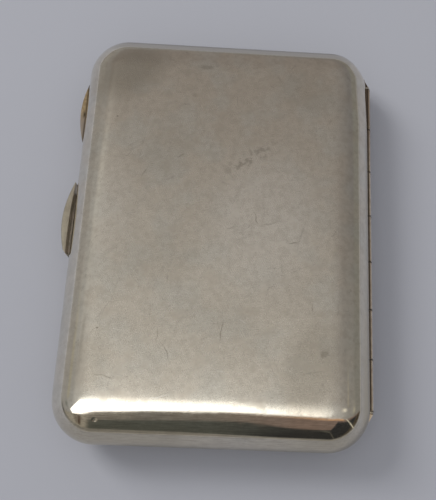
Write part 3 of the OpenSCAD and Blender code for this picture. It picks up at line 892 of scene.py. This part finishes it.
def gilt_material(name, worn_share):
    """Gilding worn through to silver, browned in places."""
    material, tree, shader, place = new_material(name, 1.0, 0.3)
    cloud = noise_value(tree, place, 1 / 7, 4.0, 0.6, shift=(2, 8, 1))
    fine = noise_value(tree, place, 1 / 1.1, 4.0, 0.6)
    brush = noise_value(tree, place, 1.0, 2.0, 0.7, (6, 0.12, 0.12), 90)
    gold = mix_colour(tree, fit(tree, fine, 0.35, 0.7), GILT_LIGHT, GILT_DARK)
    worn = times(tree, fit(tree, cloud, 0.52, 0.68), worn_share)
    tree.links.new(mix_colour(tree, worn, gold, GILT_WORN), shader.inputs["Base Color"])
    tree.links.new(fit(tree, brush, 0.3, 0.7, 0.22, 0.38), shader.inputs["Roughness"])
    bump(tree, shader, brush, 0.01, 0.4)
    return material


def steel_material():
    """Lightly brushed spring steel."""
    material, tree, shader, place = new_material("spring_steel", 1.0, 0.35)
    brush = noise_value(tree, place, 1.0, 2.0, 0.7, (0.1, 5, 0.1))
    tree.links.new(mix_colour(tree, brush, STEEL_DARK, STEEL_LIGHT), shader.inputs["Base Color"])
    tree.links.new(fit(tree, brush, 0.3, 0.7, 0.25, 0.45), shader.inputs["Roughness"])
    bump(tree, shader, brush, 0.01, 0.5)
    return material


def elastic_material():
    """Faded woven elastic."""
    material, tree, shader, place = new_material("faded_elastic", 0.0, 0.75)
    thread = noise_value(tree, place, 1.0, 3.0, 0.6, (0.25, 0.5, 0.5))
    cloud = noise_value(tree, place, 1 / 9, 3.0)
    tone = mix_colour(tree, fit(tree, thread, 0.35, 0.65), ELASTIC_DARK, ELASTIC_LIGHT)
    tone = mix_colour(tree, times(tree, fit(tree, cloud, 0.45, 0.7), 0.4), tone, ELASTIC_FADED)
    tree.links.new(tone, shader.inputs["Base Color"])
    shader.inputs["Sheen Weight"].default_value = 0.4
    shader.inputs["Sheen Roughness"].default_value = 0.4
    bump(tree, shader, thread, 0.03, 0.6)
    return material


def finish_node(node, material, rounding):
    """A carried-over piece with its material and a fine rounding of its edges, or none at 0."""
    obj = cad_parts[node]
    obj.data.materials.clear()
    obj.data.materials.append(material)
    if rounding:
        modifier = obj.modifiers.new("edges", "BEVEL")
        modifier.width = rounding * MM
        modifier.segments = 2
        modifier.limit_method = "ANGLE"
        modifier.angle_limit = math.radians(40)
        modifier.harden_normals = True


# Room that polished metal sees, drawn by the direction in which a ray leaves

ROOM = {
    "centre_near": (0.55, 0.535, 0.515),
    "centre_far": (0.27, 0.25, 0.24),
    "left_near": (0.395, 0.39, 0.38),
    "left_far": (0.31, 0.30, 0.295),
    "left_end": (0.335, 0.325, 0.315),
    "right_near": (0.29, 0.28, 0.265),
    "right_far": (0.21, 0.20, 0.20),
    "right_end": (0.235, 0.23, 0.215),
    "right_glow": (0.40, 0.38, 0.31),
    "band_left": (0.095, 0.10, 0.09),
    "band_right": (0.036, 0.036, 0.037),
    "band_end": (0.10, 0.085, 0.065),
    "wall_left": (0.20, 0.185, 0.165),
    "wall_right": (0.235, 0.175, 0.15),
    "wall_light": (0.36, 0.335, 0.29),
    "bars": (0.085, 0.055, 0.04),
    "copper": (0.66, 0.39, 0.22),
    "arc": (0.85, 0.80, 0.66),
    "bow": (0.20, 0.19, 0.16),
    "table": (0.25, 0.24, 0.225),
    "sliver": (0.055, 0.040, 0.025),
    "horizon_near": (0.38, 0.38, 0.39),
    "horizon_far": (0.30, 0.295, 0.285),
    "rim_line": (0.06, 0.06, 0.055),
}

# Stretches of side over which one part of the room gives way to the next
LEFT_SIDE, LEFT_END = (-1.5, -0.9), (-2.8, -1.9)
RIGHT_SIDE, RIGHT_END = (0.15, 1.4), (1.7, 2.8)
BAND_SIDE, BAND_END = (-0.15, 0.3), (3.0, 5.0)
WALL_SIDE = (-0.1, 0.15)

# Tones of the light that falls on everything, and of what the camera sees past the floor
AROUND_TONE = (0.42, 0.425, 0.44)
BACKDROP_TONE = (0.72, 0.72, 0.74)

# Soft patches of the upper room: centre by side and ahead, half-sizes, tone
ROOM_PATCHES = [
    ((-3.1, -0.6), (1.0, 0.45), (0.19, 0.20, 0.185)),
    ((-1.0, 0.58), (0.55, 0.32), (0.50, 0.49, 0.47)),
    ((-1.05, 0.22), (0.32, 0.12), (0.37, 0.36, 0.34)),
    ((0.86, -0.15), (0.28, 0.13), (0.95, 0.90, 0.78)),
    ((1.14, 0.10), (0.13, 0.13), (0.40, 0.37, 0.31)),
]

# Lower edge of the upper room: each row moves it from one value to another over a range of side
EDGE_BENDS = [(-0.35, 0.02, -0.74, -0.41), (0.03, 0.2, 0.0, -0.12), (0.4, 1.3, 0.0, -0.16)]


def ray_measures(tree):
    """Parts of a ray's direction and its slopes: side and ahead as on a ceiling, turn and across in plan."""
    parts = split_xyz(tree, add(tree, "ShaderNodeTexCoord").outputs["Generated"])
    height = calc(tree, "MAXIMUM", parts["Z"], 0.05)
    return {
        "x": parts["X"],
        "y": parts["Y"],
        "z": parts["Z"],
        "side": calc(tree, "DIVIDE", parts["X"], height),
        "ahead": calc(tree, "DIVIDE", parts["Y"], height),
        "turn": calc(tree, "DIVIDE", parts["Y"], parts["X"]),
        "across": calc(tree, "DIVIDE", parts["X"], parts["Y"]),
    }


def upper_room(tree, ray):
    """Ceiling, bright in the middle and dimmer to both sides and the far end, with soft patches."""
    side, ahead = ray["side"], ray["ahead"]
    slant = plus(tree, ahead, times(tree, side, 0.36))
    centre = mix_colour(tree, fit(tree, slant, -0.2, 0.68), ROOM["centre_near"], ROOM["centre_far"])
    left = mix_colour(tree, fit(tree, slant, 0.05, 0.75), ROOM["left_near"], ROOM["left_far"])
    right = mix_colour(tree, fit(tree, ahead, -0.1, 1.1), ROOM["right_near"], ROOM["right_far"])
    room = mix_colour(tree, fit(tree, side, *LEFT_SIDE), left, centre)
    room = mix_colour(tree, fit(tree, side, *LEFT_END), ROOM["left_end"], room)
    room = mix_colour(tree, fit(tree, side, *RIGHT_SIDE), room, right)
    room = mix_colour(tree, fit(tree, side, *RIGHT_END), room, ROOM["right_end"])
    for place, half, tone in ROOM_PATCHES:
        room = mix_colour(tree, patch(tree, side, ahead, place, half), room, tone)
    glow = patch(tree, ray["turn"], ray["z"], (-0.08, 0.40), (0.22, 0.10))
    return mix_colour(tree, glow, room, ROOM["right_glow"])


def upper_edge(tree, side):
    """Value of ahead at which the upper room ends and the dark band begins."""
    edge = times(tree, calc(tree, "MINIMUM", plus(tree, side, 0.3), 0.0), 0.3)
    for bend in EDGE_BENDS:
        edge = plus(tree, edge, fit(tree, side, *bend))
    return edge


def corner_bars(tree, ray):
    """Two slanted bars in the near left corner."""
    lean = minus(tree, ray["ahead"], times(tree, ray["side"], 1.92))
    weaker = times(tree, stripe(tree, lean, 1.5, 1.0), 0.55)
    bars = strongest(tree, [stripe(tree, lean, 0.75, 0.6), weaker])
    bars = times(tree, bars, fit(tree, ray["ahead"], -3.8, -2.8))
    return times(tree, bars, fit(tree, ray["side"], -0.7, -0.95))


def near_wall(tree, ray, below):
    """The dark band, the brown wall under it with its lines, and the table at its foot."""
    side, ahead = ray["side"], ray["ahead"]
    dark = mix_colour(tree, fit(tree, side, *BAND_SIDE), ROOM["band_left"], ROOM["band_right"])
    dark = mix_colour(tree, fit(tree, side, *BAND_END), dark, ROOM["band_end"])
    depth = plus(tree, fit(tree, side, 0.0, 0.22, -0.52, -0.95), fit(tree, side, 0.24, 0.6, 0.0, 0.78))
    wall = mix_colour(tree, fit(tree, side, *WALL_SIDE), ROOM["wall_left"], ROOM["wall_right"])
    wall = mix_colour(tree, fit(tree, minus(tree, below, depth), -0.09, 0.09), dark, wall)
    wall = mix_colour(tree, fit(tree, ray["across"], 0.20, 0.47), wall, ROOM["wall_light"])
    wall = mix_colour(tree, corner_bars(tree, ray), wall, ROOM["bars"])
    copper = times(tree, fit(tree, below, -0.12, -0.05), fit(tree, side, 0.05, 0.16))
    copper = times(tree, copper, fit(tree, side, 0.8, 1.15, 1.0, 0.0))
    wall = mix_colour(tree, copper, wall, ROOM["copper"])
    arc = minus(tree, ray["turn"], times(tree, ray["z"], 0.16))
    arc = times(tree, stripe(tree, arc, -0.67, 0.045), fit(tree, side, 0.9, 1.2))
    wall = mix_colour(tree, arc, wall, ROOM["arc"])
    bow = minus(tree, ray["across"], times(tree, ray["z"], 0.37))
    bow = times(tree, stripe(tree, bow, -0.355, 0.022), fit(tree, ahead, -1.5, -1.7))
    wall = mix_colour(tree, times(tree, bow, 0.8), wall, ROOM["bow"])
    table = minus(tree, ahead, fit(tree, side, -0.5, 0.9, -4.4, -8.4))
    return mix_colour(tree, fit(tree, table, -0.5, 0.5), ROOM["table"], wall)


def reflected_room(tree):
    """The whole room down to its horizon."""
    ray = ray_measures(tree)
    below = minus(tree, ray["ahead"], upper_edge(tree, ray["side"]))
    wall, ceiling = near_wall(tree, ray, below), upper_room(tree, ray)
    room = mix_colour(tree, fit(tree, below, -0.03, 0.03), wall, ceiling)
    sliver = patch(tree, ray["turn"], ray["z"], (-0.30, 0.15), (0.30, 0.10))
    room = mix_colour(tree, times(tree, sliver, fit(tree, ray["x"], 0.5, 0.7)), room, ROOM["sliver"])
    horizon = mix_colour(tree, fit(tree, ray["y"], 0.3, 0.7), ROOM["horizon_near"], ROOM["horizon_far"])
    room = mix_colour(tree, fit(tree, ray["z"], 0.02, 0.10), horizon, room)
    rim_line = patch(tree, ray["y"], ray["z"], (-0.34, 0.075), (0.36, 0.06))
    return mix_colour(tree, times(tree, rim_line, fit(tree, ray["x"], -0.5, -0.7)), room, ROOM["rim_line"])


def build_world():
    """Pale all round; polished metal sees the softly shaded room."""
    world = bpy.data.worlds.new("studio")
    bpy.context.scene.world = world
    world.use_nodes = True
    tree = world.node_tree
    tree.nodes.clear()
    path = add(tree, "ShaderNodeLightPath").outputs
    colour = mix_colour(tree, path["Is Glossy Ray"], AROUND_TONE, reflected_room(tree))
    colour = mix_colour(tree, path["Is Camera Ray"], colour, BACKDROP_TONE)
    shade = add(tree, "ShaderNodeBackground", {"Color": colour, "Strength": 1.0})
    add(tree, "ShaderNodeOutputWorld", {"Surface": shade.outputs[0]})


# Stage

def stage_sheet(name, corners, z, material):
    """A flat sheet of the stage, in metres."""
    mesh = bpy.data.meshes.new(name)
    mesh.from_pydata([(x, y, z) for x, y in corners], [], [tuple(range(len(corners)))])
    mesh.materials.append(material)
    sheet = bpy.data.objects.new(name, mesh)
    bpy.context.scene.collection.objects.link(sheet)
    return sheet


def build_floor():
    """A plain pale floor."""
    material, _, shader, _ = new_material("pale_floor", 0.0, 0.9)
    shader.inputs["Base Color"].default_value = opaque(FLOOR_TONE)
    shader.inputs["Specular IOR Level"].default_value = 0.1
    corners = [(-FLOOR_HALF, -FLOOR_HALF), (FLOOR_HALF, -FLOOR_HALF), (FLOOR_HALF, FLOOR_HALF)]
    stage_sheet("floor", corners + [(-FLOOR_HALF, FLOOR_HALF)], 0, material)


def build_soft_box():
    """A long glowing panel over the near end, broad at its left and narrow at its right."""
    material = bpy.data.materials.new("soft_box")
    material.use_nodes = True
    tree = material.node_tree
    tree.nodes.clear()
    inputs = {"Color": opaque(SOFT_BOX_TONE), "Strength": SOFT_BOX_GLOW}
    glow = add(tree, "ShaderNodeEmission", inputs)
    add(tree, "ShaderNodeOutputMaterial", {"Surface": glow.outputs[0]})
    panel = stage_sheet("soft_box", SOFT_BOX, SOFT_BOX_Z, material)
    panel.visible_camera = False
    panel.visible_diffuse = False
    panel.visible_shadow = False


def build_lamp():
    """A soft window aimed at the case, which polished metal doesn't show."""
    light = bpy.data.lights.new("window", "AREA")
    light.shape = "RECTANGLE"
    light.size, light.size_y = LAMP_SIZE, LAMP_SIZE
    light.energy = LAMP_POWER
    lamp = bpy.data.objects.new("window", light)
    aim = (-Vector(LAMP_PLACE)).to_track_quat("-Z", "Y").to_matrix().to_4x4()
    lamp.matrix_world = Matrix.Translation(LAMP_PLACE) @ aim
    lamp.visible_glossy = False
    bpy.context.scene.collection.objects.link(lamp)


def build_camera():
    """The photograph's view."""
    camera = bpy.data.cameras.new("camera")
    camera.lens = CAMERA_LENS
    camera.sensor_width = CAMERA_SENSOR
    camera.shift_x, camera.shift_y = CAMERA_SHIFT
    camera.clip_start = 0.01
    camera.clip_end = 20.0
    obj = bpy.data.objects.new("camera", camera)
    axes = Matrix((Vector(CAMERA_RIGHT), -Vector(CAMERA_DOWN), -Vector(CAMERA_AWAY)))
    obj.matrix_world = Matrix.Translation(CAMERA_PLACE) @ axes.transposed().to_4x4()
    bpy.context.scene.collection.objects.link(obj)
    bpy.context.scene.camera = obj


build_camera()
silver = silver_material()
gilt_inside = gilt_material("gilt_inside", 0.5)
gilt_trim = gilt_material("gilt_trim", 0.9)
crescent = crescent_material()
hinge_metal = hinge_material()
thumb_silver = toned_metal("thumb_silver", THUMB_LIGHT, THUMB_DARK, 0.30)
# lighter metal for the thumb-piece's inner face, end caps and stem
thumb_back_metal = toned_metal("thumb_back_metal", THUMB_BACK_LIGHT, THUMB_BACK_DARK, 0.50)
steel = steel_material()
elastic = elastic_material()

build_shells(silver, gilt_inside)
build_thumb_piece(thumb_silver, thumb_back_metal)
build_strap(elastic)

FINISHES = [
    (("base_bearer", "base_knuckles", "lid_knuckles"), hinge_metal, ROUND_SOFT),
    (("lid_bearer", "catch_block"), silver, ROUND_SOFT),
    (("hinge_pin", "hinge_plugs"), silver, 0.0),
    (("base_bezel", "catch_keeper"), gilt_inside, ROUND_SOFT),
    (("strap_front_plate",), crescent, ROUND_FINE),
    (("strap_back_plate", "strap_rivets"), gilt_trim, ROUND_FINE),
    (("catch_spring", "catch_nib", "catch_rivets", "thumb_rivet"), steel, ROUND_FINE),
]
for nodes, material, rounding in FINISHES:
    for node in nodes:
        finish_node(node, material, rounding)

build_floor()
build_world()
build_soft_box()
build_lamp()

view = bpy.context.scene.view_settings
view.view_transform = "Standard"
